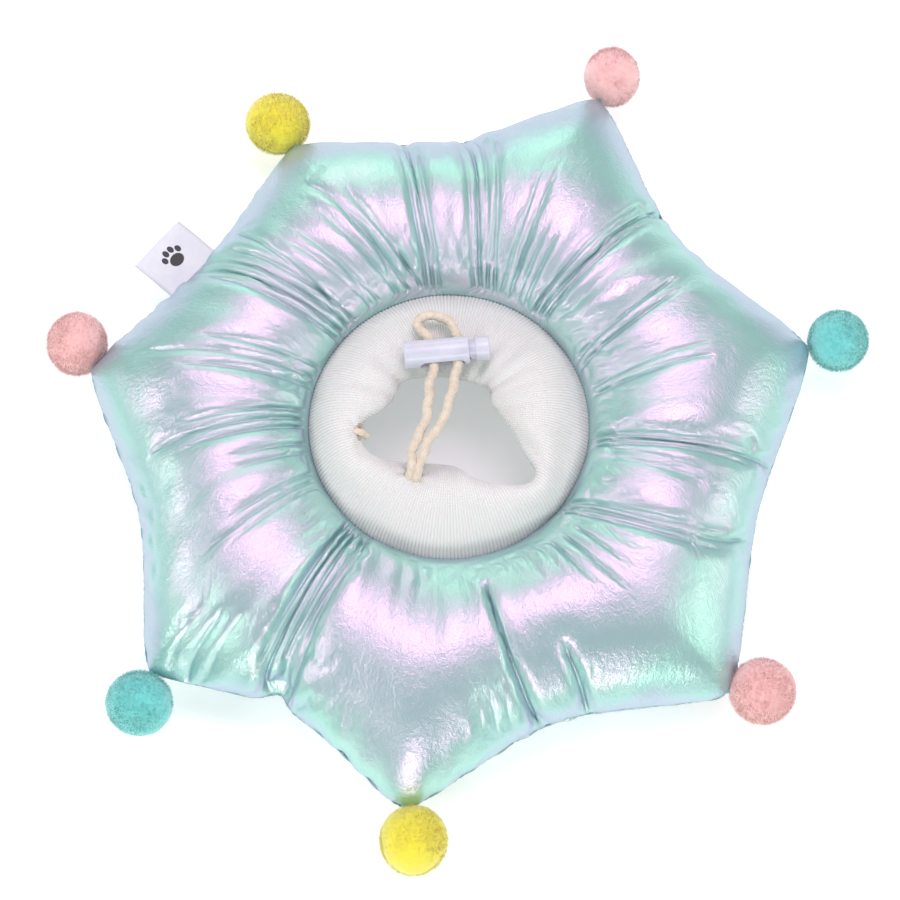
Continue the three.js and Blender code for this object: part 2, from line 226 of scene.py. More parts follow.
def spaced(path, count, closed=False, spacing=1.0):
    """Points evenly spaced along a path, as many as count, or where count is 0 as spacing gives."""
    if closed:
        path = np.concatenate([path, path[:1]])
    steps = length_along(path)
    count = count or round(steps[-1] / spacing)
    at = np.linspace(0, steps[-1], count + 1)[:-1] if closed else np.linspace(0, steps[-1], count)
    return np.stack([np.interp(at, steps, column) for column in path.T], 1)


def spline(points, count, closed=False):
    """Evenly spaced points along a smooth curve through a few."""
    points = np.array(points, float)
    for _ in range(5):
        points = refine(points, 0, closed)
    return spaced(points, count, closed)


def ring_points(radius, angle, height):
    """Points from their distance and angle in degrees round the neck axis, and their height."""
    turn = np.radians(angle)
    return np.stack(np.broadcast_arrays(radius * np.cos(turn), radius * np.sin(turn), height), -1)


def grid_normals(points):
    """Unit normals of a grid of points whose first axis runs round the ring."""
    across = np.roll(points, -1, 0) - np.roll(points, 1, 0)
    normal = np.cross(across, np.gradient(points, axis=1))
    return normal / np.maximum(np.linalg.norm(normal, axis=-1, keepdims=True), 1e-12)


# ---------------------------------------------------------------- meshes


def grid_faces(rows, columns, close_rows, close_columns=False, flip=False):
    index = np.arange(rows * columns).reshape(rows, columns)
    if close_rows:
        index = np.concatenate([index, index[:1]])
    if close_columns:
        index = np.concatenate([index, index[:, :1]], 1)
    corners = [index[:-1, :-1], index[1:, :-1], index[1:, 1:], index[:-1, 1:]]
    if flip:
        corners.reverse()
    return np.stack([corner.ravel() for corner in corners], 1)


def add_mesh(name, points, faces, material, **attributes):
    """A smooth mesh from points in millimetres and one or more arrays of faces."""
    faces = faces if isinstance(faces, list) else [faces]
    mesh = bpy.data.meshes.new(name)
    points = np.asarray(points, float).reshape(-1, 3)
    mesh.vertices.add(len(points))
    mesh.vertices.foreach_set("co", (points * MM).astype(np.float32).ravel())
    sizes = np.concatenate([np.full(len(some), some.shape[1]) for some in faces])
    mesh.loops.add(int(sizes.sum()))
    corners = np.concatenate([some.ravel() for some in faces])
    mesh.loops.foreach_set("vertex_index", corners.astype(np.int32))
    mesh.polygons.add(len(sizes))
    starts = np.concatenate([[0], np.cumsum(sizes)[:-1]])
    mesh.polygons.foreach_set("loop_start", starts.astype(np.int32))
    mesh.polygons.foreach_set("use_smooth", np.ones(len(sizes), bool))
    mesh.update(calc_edges=True)
    for key, values in attributes.items():
        values = np.asarray(values, np.float32)
        kind = "FLOAT_VECTOR" if values.ndim > 1 else "FLOAT"
        layer = mesh.attributes.new(key, kind, "POINT")
        layer.data.foreach_set("vector" if values.ndim > 1 else "value", values.ravel())
    mesh.materials.append(material)
    piece = bpy.data.objects.new(name, mesh)
    bpy.context.scene.collection.objects.link(piece)
    return piece


def place(piece, body, slot, *nodes):
    """Puts a piece on its body and in place of any CAD nodes it stands for. slot is not used."""
    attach(piece, body)
    if nodes:
        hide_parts(*nodes)


def frame_along(path, up, closed):
    """Unit vectors along a path, to its side and above it."""
    if closed:
        along = unit(np.roll(path, -1, 0) - np.roll(path, 1, 0))
    else:
        along = unit(np.gradient(path, axis=0))
    side = unit(np.cross(along, up))
    return along, side, np.cross(side, along)


def tube(path, radius, sides, up, closed=False):
    """The points and faces of a round tube along a path. radius is one number, or a value for each
    point and side."""
    path = np.asarray(path, float)
    _, side, above = frame_along(path, up, closed)
    turn = full_turn(sides)
    radius = np.broadcast_to(radius, (len(path), sides))[..., None]
    spoke = side[:, None] * np.cos(turn)[None, :, None] + above[:, None] * np.sin(turn)[None, :, None]
    points = path[:, None] + spoke * radius
    faces = [grid_faces(len(path), sides, closed, True)]
    if not closed:
        first, last = np.arange(sides), (len(path) - 1) * sides + np.arange(sides)
        faces += [first[None], last[::-1][None]]
    return points, faces


def join_tubes(name, tubes, material):
    points, groups, start = [], {}, 0
    for grid, faces in tubes:
        points.append(grid.reshape(-1, 3))
        for some in faces:
            groups.setdefault(some.shape[1], []).append(some + start)
        start += points[-1].shape[0]
    return add_mesh(name, np.concatenate(points), [np.concatenate(some) for some in groups.values()],
                    material)


def stitches(name, path, up, length, radius, material):
    """A row of stitches, one centred on each path point and lying along the path."""
    along, side, above = frame_along(path, up, True)
    sides = 6
    stations = np.array([[-0.5, 0.3, -0.9], [-0.4, 0.9, -0.35], [-0.15, 1, 0], [0.15, 1, 0],
                         [0.4, 0.9, -0.35], [0.5, 0.3, -0.9]])
    turn = full_turn(sides)
    x = stations[:, 0] * length
    y = radius * stations[:, 1, None] * np.cos(turn)
    z = radius * (stations[:, 1, None] * np.sin(turn) + stations[:, 2, None])
    shape = (along[:, None, None] * x[None, :, None, None] + side[:, None, None] * y[None, ..., None]
             + above[:, None, None] * z[None, ..., None])
    points = path[:, None, None] + shape
    count = len(stations) * sides
    one = grid_faces(len(stations), sides, False, True)
    ends = np.stack([np.arange(sides), (len(stations) - 1) * sides + np.arange(sides)[::-1]])
    offsets = (np.arange(len(path)) * count)[:, None, None]
    faces = [(one[None] + offsets).reshape(-1, 4), (ends[None] + offsets).reshape(-1, sides)]
    return add_mesh(name, points, faces, material)


# ---------------------------------------------------------------- material nodes


class Paint:
    """A material built up node by node. An input is a value or another node's output."""

    def __init__(self, name):
        self.material = bpy.data.materials.new(name)
        self.material.use_nodes = True
        self.tree = self.material.node_tree
        self.tree.nodes.clear()

    def add(self, kind, inputs=None, **settings):
        made = self.tree.nodes.new(kind)
        for key, value in settings.items():
            setattr(made, key, value)
        for key, value in (inputs or {}).items():
            socket = made.inputs[key]
            if isinstance(value, bpy.types.NodeSocket):
                self.tree.links.new(value, socket)
            else:
                socket.default_value = value
        return made

    def attribute(self, name):
        return self.add("ShaderNodeAttribute", attribute_name=name).outputs["Vector"]

    def place(self):
        return self.add("ShaderNodeTexCoord").outputs["Object"]

    def stretch(self, vector, scale):
        return self.add("ShaderNodeMapping", {"Vector": vector, "Scale": scale}).outputs[0]

    def noise(self, vector, scale, detail=3, roughness=0.55):
        return self.add("ShaderNodeTexNoise", {"Vector": vector, "Scale": scale, "Detail": detail,
                                               "Roughness": roughness}).outputs["Fac"]

    def ramp(self, value, *stops):
        node = self.add("ShaderNodeValToRGB", {"Fac": value})
        elements = node.color_ramp.elements
        while len(elements) < len(stops):
            elements.new(0.5)
        for element, (position, colour) in zip(elements, stops):
            element.position = position
            element.color = (*colour, 1) if len(colour) == 3 else colour
        return node.outputs["Color"]

    def math(self, operation, first, second=0.0):
        return self.add("ShaderNodeMath", {0: first, 1: second}, operation=operation).outputs[0]

    def scaled(self, value, by, away_from=0.0):
        """value, as its distance from a number, times another number."""
        if away_from:
            value = self.math("SUBTRACT", value, away_from)
        return self.math("MULTIPLY", value, by)

    def blend(self, fac, first, second):
        node = self.add("ShaderNodeMix", data_type="RGBA")
        for key, value in ((0, fac), (6, first), (7, second)):
            if isinstance(value, bpy.types.NodeSocket):
                self.tree.links.new(value, node.inputs[key])
            else:
                node.inputs[key].default_value = value if key == 0 else (*value, 1)
        return node.outputs[2]

    def bump(self, height, distance, strength=1.0, normal=None):
        inputs = {"Height": height, "Distance": distance, "Strength": strength}
        if normal is not None:
            inputs["Normal"] = normal
        return self.add("ShaderNodeBump", inputs).outputs["Normal"]

    def principled(self, colour, roughness, **inputs):
        named = {key.replace("_", " "): value for key, value in inputs.items()}
        named["Base Color"] = colour if isinstance(colour, bpy.types.NodeSocket) else (*colour, 1)
        named["Roughness"] = roughness
        return self.add("ShaderNodeBsdfPrincipled", named).outputs[0]

    def finish(self, shader):
        self.add("ShaderNodeOutputMaterial", {"Surface": shader})
        return self.material


def foil_fabric():
    """Thin foil on woven cloth: teal under a film that turns pink, mint and lavender."""
    paint = Paint("foil_fabric")
    flow = paint.attribute("flow")
    from_neck = paint.add("ShaderNodeSeparateXYZ", {"Vector": flow}).outputs[2]
    streaks = paint.noise(paint.stretch(flow, (1, 1, 0.45)), 850, 4, 0.65)
    grain = paint.noise(flow, 1900, 3, 0.65)
    patches = paint.noise(flow, 26, 3, 0.5)
    normal = paint.bump(streaks, 0.0006, 0.5)
    normal = paint.bump(grain, 0.00028, 0.5, normal)
    facing = paint.add("ShaderNodeLayerWeight", {"Blend": 0.5, "Normal": normal}).outputs["Facing"]
    turned = paint.math("POWER", facing, 0.5)
    shift = paint.scaled(patches, 0.8, away_from=0.5)
    to_rim = paint.add("ShaderNodeMapRange", {"Value": from_neck, "From Min": 0.045, "From Max": 0.085,
                                              "To Max": 0.14}).outputs[0]
    turned = paint.math("ADD", paint.math("ADD", turned, shift), to_rim)
    base = paint.ramp(turned, (0.0, (0.34, 0.63, 0.61)), (0.5, (0.36, 0.62, 0.6)),
                      (0.8, (0.38, 0.56, 0.58)), (1.0, (0.42, 0.52, 0.6)))
    film = paint.ramp(turned, (0.0, (1.0, 0.55, 0.82)), (0.38, (1.0, 0.58, 0.84)), (0.5, (0.82, 0.84, 0.84)),
                      (0.6, (0.5, 1.0, 0.72)), (0.74, (0.46, 0.85, 0.74)), (0.9, (0.62, 0.6, 0.82)),
                      (1.0, (0.5, 0.66, 0.72)))
    under = paint.principled(base, 0.45, Metallic=0.2, Normal=normal)
    rough = paint.math("ADD", 0.12, paint.scaled(patches, 0.14))
    gloss = paint.add("ShaderNodeBsdfGlossy", {"Color": film, "Roughness": rough, "Normal": normal})
    mixed = paint.add("ShaderNodeMixShader", {"Fac": 0.42, 1: under, 2: gloss.outputs[0]})
    return paint.finish(mixed.outputs[0])


def knit_yarn():
    """Soft cotton rib knit, with painted shade in the grooves between the ribs."""
    paint = Paint("rib_knit")
    place_at = paint.place()
    fuzz = paint.noise(place_at, 3200, 3, 0.7)
    shade = paint.noise(place_at, 60, 3, 0.5)
    parts = paint.add("ShaderNodeSeparateXYZ", {"Vector": paint.attribute("knit")})
    on_rib, along = parts.outputs[0], parts.outputs[2]
    course = paint.math("SINE", paint.math("ADD", along, paint.scaled(on_rib, 1.6)))
    groove = paint.scaled(on_rib, -0.5, away_from=1.0)
    height = paint.math("ADD", paint.scaled(course, 0.5), fuzz)
    normal = paint.bump(height, 0.00018, 0.7)
    # Painted shade: the colour darkens from the rib tops into the grooves between them.
    colour = paint.blend(groove, (0.82, 0.82, 0.8), (0.74, 0.75, 0.73))
    colour = paint.blend(paint.scaled(shade, 0.25), colour, (0.72, 0.73, 0.72))
    return paint.finish(paint.principled(
        colour, 0.92, Normal=normal, Sheen_Weight=0.35, Sheen_Roughness=0.5,
        Subsurface_Weight=0.12, Subsurface_Scale=0.002))


def fibres(name, fine, coarse, dark, light, bump, roughness, **finish):
    """Fibres with a fine and a coarse noise, between a dark and a light stop of a ramp."""
    paint = Paint(name)
    place_at = paint.place()
    small, large = paint.noise(place_at, *fine), paint.noise(place_at, *coarse)
    # The dark stop falls where the fine noise, which is also the bump, is low: painted shade between the
    # fibres, mixed with random tone from the coarse noise.
    shade = paint.ramp(paint.scaled(paint.math("ADD", small, large), 0.5), dark, light)
    normal = paint.bump(small, *bump)
    return paint.finish(paint.principled(shade, roughness, Normal=normal, **finish))


def cotton(name, colour, shadow):
    """Spun cotton: cord, stitching and thread."""
    return fibres(name, (2600, 4, 0.7), (260, 3, 0.6), (0.3, shadow), (0.62, colour), (0.0002, 0.6), 0.9,
                  Sheen_Weight=0.25)


def pile(name, colour, pile_shade):
    """Dense clipped pile of a pom-pom; its darker ramp stop is painted shade down in the pile, mixed with
    random tone.
    """
    return fibres(name, (2400, 3, 0.7), (700, 3, 0.6), (0.36, pile_shade), (0.56, colour), (0.0003, 0.4), 1.0,
                  Sheen_Weight=0.6, Sheen_Roughness=0.6, Subsurface_Weight=0.1, Subsurface_Scale=0.002)


def moulded_plastic():
    """Smooth white moulded plastic, a little blue and a little cloudy."""
    paint = Paint("lock_plastic")
    place_at = paint.place()
    cloud = paint.noise(place_at, 180, 3, 0.5)
    fine = paint.noise(place_at, 1800, 2, 0.5)
    colour = paint.ramp(cloud, (0.3, (0.58, 0.59, 0.68)), (0.7, (0.65, 0.66, 0.75)))
    rough = paint.math("ADD", 0.26, paint.scaled(fine, 0.12))
    return paint.finish(paint.principled(
        colour, rough, Normal=paint.bump(fine, 0.00003, 0.4), Subsurface_Weight=0.3,
        Subsurface_Scale=0.003, Coat_Weight=0.15, Coat_Roughness=0.2))


def spring_steel():
    """Bright drawn wire."""
    paint = Paint("spring_wire")
    drawn = paint.noise(paint.stretch(paint.place(), (1, 0.2, 0.2)), 4000, 2)
    rough = paint.math("ADD", 0.2, paint.scaled(drawn, 0.2))
    return paint.finish(paint.principled((0.62, 0.63, 0.65), rough, Metallic=1.0,
                                         Normal=paint.bump(drawn, 0.00002)))


def ribbon():
    """White satin ribbon with a fine weave."""
    paint = Paint("label_ribbon")
    place_at = paint.place()
    warp = paint.noise(paint.stretch(place_at, (1, 0.1, 1)), 3600, 2)
    weft = paint.noise(paint.stretch(place_at, (0.1, 1, 1)), 3600, 2)
    weave = paint.math("ADD", warp, weft)
    colour = paint.ramp(paint.noise(place_at, 120), (0.3, (0.68, 0.69, 0.76)), (0.7, (0.77, 0.77, 0.82)))
    return paint.finish(paint.principled(colour, 0.45, Normal=paint.bump(weave, 0.00006, 0.5),
                                         Sheen_Weight=0.3))


def ink():
    """Near-black print, lighter where the threads stand up: a painted highlight on the raised threads."""
    paint = Paint("label_ink")
    thread = paint.noise(paint.place(), 3000, 2)
    # Painted highlight: the ink lightens where the thread bump stands up.
    shade = paint.blend(paint.scaled(thread, 0.3), (0.03, 0.03, 0.035), (0.15, 0.15, 0.155))
    return paint.finish(paint.principled(shade, 0.6, Normal=paint.bump(thread, 0.00004, 0.5)))


def loose_fibre():
    """Fluffy white stuffing."""
    paint = Paint("fibre_fill")
    strands = paint.noise(paint.place(), 900, 5, 0.8)
    # Painted shade: the colour darkens where the strand noise, which is also the bump, is low.
    colour = paint.ramp(strands, (0.3, (0.78, 0.78, 0.77)), (0.7, (0.93, 0.93, 0.92)))
    return paint.finish(paint.principled(colour, 1.0, Normal=paint.bump(strands, 0.0008, 0.8),
                                         Sheen_Weight=0.5))


FOIL = foil_fabric()
KNIT = knit_yarn()
CORD = cotton("cotton_cord", (0.76, 0.68, 0.57), (0.6, 0.5, 0.38))
SEAM_THREAD = cotton("seam_thread", (0.3, 0.56, 0.57), (0.18, 0.4, 0.42))
BUTTONHOLE_THREAD = cotton("buttonhole_thread", (0.6, 0.5, 0.38), (0.32, 0.23, 0.15))
KNIT_THREAD = cotton("knit_thread", (0.85, 0.85, 0.83), (0.7, 0.7, 0.68))
PLASTIC = moulded_plastic()
SPRING = spring_steel()
RIBBON = ribbon()
PILES = {
    "teal": pile("pompom_teal", (0.17, 0.66, 0.63), (0.14, 0.61, 0.58)),
    "pink": pile("pompom_pink", (0.9, 0.53, 0.51), (0.86, 0.48, 0.46)),
    "yellow": pile("pompom_yellow", (0.84, 0.75, 0.035), (0.79, 0.69, 0.03)),
}
COLOURS = {"right": "teal", "top": "pink", "upper_left": "yellow", "left": "pink",
           "lower_left": "teal", "bottom": "yellow", "lower_right": "pink"}

# ---------------------------------------------------------------- padded ring

COLUMNS = 550
ROWS = 44
FLOW_RADIUS = 0.09  # metres: the ring that the foil's streaks are laid out on
# Loose waves of the cloth: fewest and most round the ring, height, where they are strongest
# between neck (0) and rim (1), and how far they reach from there
WAVES = [(26, 54, 0.5, 0.45, 0.28), (55, 105, 0.45, 0.2, 0.14), (50, 100, 0.22, 0.92, 0.09)]
SEAM_TURN = ((1.6, 0.35), (3.4, 0.2))  # the raw edge: distance in from the seam, height above it


def fold_lines(angle, u):
    """Each fold as its distance from here in degrees, and its strength here."""
    for neck, rim, start, end, strength, count, spread in FOLDS:
        for i in range(count):
            offset = (i - (count - 1) / 2) * spread
            weaker = 1 - 0.35 * abs(offset) / spread / max(1, count / 2) - 0.12 * (i % 2)
            middle = neck + offset + (rim - neck - offset * 0.35) * u
            last = end if abs(offset) < spread * 0.6 else start + (end - start) * 0.82
            here = step((u - start + 0.03) / 0.07) * (1 if last >= 1 else step((last - u) / 0.14))
            yield wrap(angle - middle), strength * weaker * here


def fold_pattern(angle, u):
    """How strongly the cloth is caught into folds, over the whole cover."""
    width, sharpness = 1.15, 1.7
    return sum(strength * np.exp(-np.abs(distance / width) ** sharpness)
               for distance, strength in fold_lines(angle, u))


def pleats(angle, u, radius):
    """Narrow creases pressed along the folds, in mm of height: a groove with a ridge on each side."""
    aside, ridge_width, groove_width = 1.15, 0.55, 0.5
    total = np.zeros_like(angle)
    for distance, strength in fold_lines(angle, u):
        away = np.radians(distance) * radius
        ridge = (bell(away - aside, ridge_width)
                 + 0.5 * bell(away + aside, ridge_width))
        groove = bell(away, groove_width)
        total += np.minimum(strength, 1.1) * (0.34 * ridge - 0.42 * groove)
    return total


def cover_shape(side, rng):
    """The cover before it is blown up: its points, its flat rest shape and its way out."""
    phi = np.linspace(0, math.pi, ROWS)
    u = phi / math.pi
    station = np.arange(COLUMNS) * 360 / COLUMNS
    waves = 0
    for fewest, most, tall, strongest, reach in WAVES:
        around = ripples(rng, station[:, None], u[None], fewest, most, 70)
        waves = waves + around * tall * bell(u - strongest, reach)
    _, _, share = rim_share(station)
    waves *= (1 - 0.55 * share[:, None] * step(u * 2)[None]) * step((u - 0.03) / 0.2)
    angle = station[:, None] + np.zeros(ROWS)
    for _ in range(4):  # crowding the cloth moves it along, so the folds are placed again each time
        folds = fold_pattern(angle, u) * (1 if side > 0 else 0.7)
        crowding = np.clip(1 / (1 + 1.2 * folds + 0.32 * np.clip(-waves, -1.5, 2)), 0.22, 1.6)
        angle = np.concatenate([np.zeros((1, ROWS)), np.cumsum(crowding, 0)[:-1]]) / crowding.sum(0) * 360
        angle += (station[:, None] - angle).mean(0)
    pucker = 0.22 * ripples(rng, station, 0, 40, 90, 60)
    rim = rim_radius(angle) + pucker[:, None] * u[None] ** 6
    _, _, share = rim_share(angle)
    half = (rim - NECK) / 2
    radius = (rim + NECK) / 2 - half * np.cos(phi)
    seam = NECK_Z * (1 + np.cos(phi)) / 2
    power = np.where(phi > math.pi / 2, 0.9 + 0.5 * share, 0.9)
    puff = PUFF_UP if side > 0 else PUFF_DOWN
    height = seam + side * puff * np.maximum(0, np.sin(phi)) ** power
    height = np.maximum(height, BASE)
    points = ring_points(radius, angle, height)
    step_length = np.hypot(np.diff(radius, axis=1), np.diff(height, axis=1))
    length = np.concatenate([np.zeros((COLUMNS, 1)), np.cumsum(step_length, 1)], 1)
    slack = 0.02 * step((u - 0.05) / 0.2)
    flat = (NECK + length) * (1 + slack)
    rest = ring_points(flat, station[:, None], 0.0)
    out = grid_normals(points) * -side
    out *= np.sign(out[:, ROWS // 2, 2].mean()) * side
    edge = np.minimum(1, np.minimum(phi, math.pi - phi) / 0.2)
    points = points + out * ((0.8 * waves - 3.2 * folds) * edge)[..., None]
    flow = ring_points(FLOW_RADIUS, station[:, None], length * MM)
    return points, rest, flow, angle - station[:, None]


def inflate(points, rest, side, frames):
    """Blows the cover up as cloth held along both seams."""
    scale = 10 * MM  # cloth settles better on a model ten times the size
    faces = grid_faces(COLUMNS, ROWS, True, flip=side > 0)
    mesh = bpy.data.meshes.new("cloth")
    mesh.from_pydata((points.reshape(-1, 3) * scale).tolist(), [], faces.tolist())
    mesh.update()
    sheet = bpy.data.objects.new("cloth", mesh)
    bpy.context.scene.collection.objects.link(sheet)
    sheet.shape_key_add(name="Basis")
    flat = sheet.shape_key_add(name="rest")
    flat.data.foreach_set("co", (rest.reshape(-1, 3) * scale).astype(np.float32).ravel())
    flat.value = 0
    held = sheet.vertex_groups.new(name="seams")
    index = np.arange(COLUMNS * ROWS).reshape(COLUMNS, ROWS)
    held.add(np.concatenate([index[:, 0], index[:, -1]]).tolist(), 1.0, "ADD")
    cloth = sheet.modifiers.new("cloth", "CLOTH")
    settings = cloth.settings
    values = {
        "quality": 4, "mass": 0.15, "air_damping": 1, "tension_stiffness": 100,
        "compression_stiffness": 100, "shear_stiffness": 10, "bending_stiffness": 0.02,
        "tension_damping": 5, "compression_damping": 5, "shear_damping": 5, "bending_damping": 0.5,
        "vertex_group_mass": "seams", "pin_stiffness": 1, "use_pressure": True,
        "uniform_pressure_force": 6, "rest_shape_key": flat,
    }
    for key, value in values.items():
        setattr(settings, key, value)
    settings.effector_weights.gravity = 0
    cloth.collision_settings.use_collision = False
    cloth.collision_settings.use_self_collision = False
    scene = bpy.context.scene
    cloth.point_cache.frame_start, cloth.point_cache.frame_end = 1, frames
    for number in range(1, frames + 1):
        scene.frame_set(number)
    shown = sheet.evaluated_get(bpy.context.evaluated_depsgraph_get())
    settled = np.zeros(COLUMNS * ROWS * 3, np.float32)
    shown.data.vertices.foreach_get("co", settled)
    bpy.data.objects.remove(sheet)
    bpy.data.meshes.remove(mesh)
    scene.frame_set(1)
    return settled.reshape(COLUMNS, ROWS, 3).astype(float) / scale


def rest_on_floor(points):
    """Presses what hangs below the base flat, with a soft shoulder."""
    above = points[..., 2] - BASE
    soft = 1.2
    points[..., 2] = BASE + np.where(above > soft, above, soft * np.exp(np.minimum(above, soft) / soft - 1))
    return points


def cover(name, side, seed, frames):
    """One cover, blown up, creased and turned in at both seams. side is 1 for the front, -1 for the back."""
    rng = np.random.default_rng(seed)
    points, rest, flow, shift = cover_shape(side, rng)
    points = inflate(points, rest, side, frames)
    if side < 0:
        points = rest_on_floor(points)
    for axis, closed in ((0, True), (1, False)):
        points, flow, shift = (refine(grid, axis, closed) for grid in (points, flow, shift))
    u = np.linspace(0, 1, points.shape[1])
    angle = np.arange(len(points))[:, None] * 360 / len(points) + shift
    creases = pleats(angle, u, np.hypot(points[..., 0], points[..., 1])) * step(np.minimum(u, 1 - u) / 0.06)
    out = grid_normals(points)
    out *= np.sign(out[:, len(u) // 2, 2].mean()) * side
    points = points + out * (creases * (1 if side > 0 else 0.5))[..., None]
    outward = unit(points[:, -1] * [1, 1, 0])
    lift = np.array([0, 0, side])
    seam_gap = 0.12
    points[:, -1] += lift * seam_gap
    points[:, 0] += lift * seam_gap
    rim_turn = [points[:, -1] - outward * back + lift * up for back, up in SEAM_TURN]
    neck_turn = [points[:, 0] + outward * back + lift * up for back, up in SEAM_TURN]
    points = np.concatenate([np.stack(neck_turn[::-1], 1), points, np.stack(rim_turn, 1)], 1)
    flow = np.concatenate([flow[:, :1], flow[:, :1], flow, flow[:, -1:], flow[:, -1:]], 1)
    faces = grid_faces(points.shape[0], points.shape[1], True, flip=side > 0)
    piece = add_mesh(name + "_cloth", points, faces, FOIL, flow=flow.reshape(-1, 3))
    place(piece, "collar", "foil_fabric", name)


def wadding():
    """The stuffing, a loose ring a little smaller than the covers."""
    rng = np.random.default_rng(5)
    turns, around = 180, 36
    angle = np.arange(turns) * 360 / turns
    phi = full_turn(around)
    rim = rim_radius(angle)[:, None] - 9
    neck = NECK + 6
    radius = (rim + neck) / 2 - (rim - neck) / 2 * np.cos(phi)
    height = 2 + np.where(np.sin(phi) > 0, 13, 15) * np.sin(phi) + np.zeros_like(radius)
    points = ring_points(radius, angle[:, None], height)
    points += (points - points.mean(1, keepdims=True)) * (0.05 * lumps(rng, points, 18))[..., None]
    faces = grid_faces(turns, around, True, True, flip=True)
    piece = add_mesh("fibre_fill_wadding", points, faces, loose_fibre())
    place(piece, "collar", "fibre_fill", "fibre_fill")


def even_ring(radius_at, height, spacing):
    """Points round the neck axis at an even spacing."""
    angle = np.linspace(0, 360, 2400, endpoint=False)
    return spaced(ring_points(radius_at(angle), angle, height), 0, True, spacing)


def ring_stitching():
    rim = even_ring(lambda angle: rim_radius(angle) - 0.1, 0, 3.1)
    place(stitches("rim_seam_stitches", rim, unit(rim), 2.5, 0.24, SEAM_THREAD),
          "collar", "seam_thread", "rim_seam_thread")
    neck = even_ring(lambda angle: np.full_like(angle, NECK - 0.1), NECK_Z, 2.8)
    place(stitches("neck_seam_stitches", neck, (0, 0, 1), 2.2, 0.22, SEAM_THREAD),
          "collar", "seam_thread", "neck_seam_thread")


# ---------------------------------------------------------------- knit cuff

HEM = spline([(x, y) for x, y in HEM_OUTLINE], 720, closed=True)
HEM_ANGLE = np.degrees(np.arctan2(HEM[:, 1], HEM[:, 0])) % 360
HEM_ORDER = np.argsort(HEM_ANGLE)


def hem_radius(angle):
    spread = np.linspace(-2, 2, 9)
    weight = np.exp(-spread ** 2)
    turned = np.add.outer(spread * HEM_SOFTNESS, angle)
    radius = np.interp(turned, HEM_ANGLE[HEM_ORDER], np.hypot(*HEM.T)[HEM_ORDER], period=360)
    return np.tensordot(weight / weight.sum(), radius, 1)


def hem_distance(angle, distance):
    """How far along a radius to go out from the hem, to be this far from its edge."""
    step_angle = 1.5
    change = (hem_radius(angle + step_angle) - hem_radius(angle - step_angle)) / math.radians(2 * step_angle)
    return distance * np.minimum(1.8, np.hypot(1, change / hem_radius(angle)))


def cuff_top(angle, along):
    """Radius and height of the cuff's upper face, along from the neck seam (0) to the hem (1)."""
    radius = CUFF_RADIUS + (hem_radius(angle) - CUFF_RADIUS) * along
    height = NECK_Z + (HEM_Z - NECK_Z) * along + CUFF_BULGE * 4 * along * (1 - along)
    return radius, height


def cuff_across(angle, along):
    """A point of the cuff's upper face, the way on towards the hem and the way down through it."""
    here = np.stack(cuff_top(angle, along))
    slope = here - np.stack(cuff_top(angle, along * 0.98))
    slope /= np.linalg.norm(slope, axis=0)
    down = np.stack([slope[1], -slope[0]])
    return here, slope, down * np.sign(-down[1])


def cuff_section(angle):
    """Rows of the cuff for all angles, as (radius, height): over the top, round the hem and back."""
    span = CUFF_RADIUS - hem_radius(angle)
    roll_back, roll_down = hem_distance(angle, 2.3), 2.7
    top = np.linspace(0, 1, TOP_ROWS)[:, None] * (1 - roll_back / span)
    radius, height = cuff_top(angle, top)
    rows = [np.stack([radius[i], height[i]]) for i in range(len(top))]
    edge, slope, down = cuff_across(angle, top[-1])
    for turn in np.linspace(0, math.pi, 11)[1:]:
        onward, below = roll_back * math.sin(turn), roll_down * (1 - math.cos(turn))
        rows.append(edge + slope * onward + down * below)
    for back, depth in ((2.5, 5.4), (4.5, 5.1), (6.5, 4.2), (8.2, 3.4)):
        here, _, down = cuff_across(angle, top[-1] - back / span)
        rows.append(here + down * depth)
    inner = np.linspace(0.75, 0, 8)
    under_radius, under_height = cuff_top(angle, inner[:, None] * (1 - 10.5 / span)[None])
    rows += [np.stack([under_radius[i] - 0.4, under_height[i] - 3.4]) for i in range(len(inner))]
    return np.array(rows).transpose(2, 0, 1)


def knit_cuff():
    """The rib-knit cuff as one closed-round sheet folded double at the hem. Returns its points."""
    rng = np.random.default_rng(23)
    columns = RIBS * RIB_COLUMNS
    angle = np.arange(columns) * 360 / columns
    section = cuff_section(angle)
    rows = section.shape[1]
    points = ring_points(section[..., 0], angle[:, None], section[..., 1])
    out = grid_normals(points)
    out *= np.sign(out[:, 10, 2].mean())
    length = np.concatenate([np.zeros((columns, 1)),
                             np.cumsum(np.linalg.norm(np.diff(points, axis=1), axis=-1), 1)], 1)
    at_hem = step((length - 10) / 18)
    phase = 2 * math.pi * angle / 360 * RIBS
    ribs = (RIB_HEIGHT - 0.08 * at_hem) * np.cos(phase)[:, None]
    u = np.linspace(0, 1, rows)
    gathers = ripples(rng, angle[:, None], u[None], 10, 30, 60) * 0.4 * at_hem
    dome = lumps(rng, points, 34, 16) * 0.7 * step(length / 12)
    pulls = np.zeros_like(length)
    for x, y in (EXIT[:2], SECOND_BUTTONHOLE):
        away = np.hypot(points[..., 0] - x, points[..., 1] - y)
        round_it = np.arctan2(points[..., 1] - y, points[..., 0] - x)
        pulls += -0.9 * bell(away, 2.2)
        pulls += 0.3 * np.cos(7 * round_it + 1) * bell(away - 4.5, 2.5)
    fade = step(length / 4)
    together = out[..., 2]  # the upper and the lower layer move the same way
    points = points + out * ((gathers + dome + pulls) * fade * together + ribs)[..., None]
    knit = ring_points(1, np.degrees(phase)[:, None], length * 2 * math.pi / 1.1)
    faces = grid_faces(columns, rows, True)
    piece = add_mesh("knit_cuff_ribbed", points, faces, KNIT, knit=knit.reshape(-1, 3))
    place(piece, "collar", "knit", "knit_cuff")
    return points


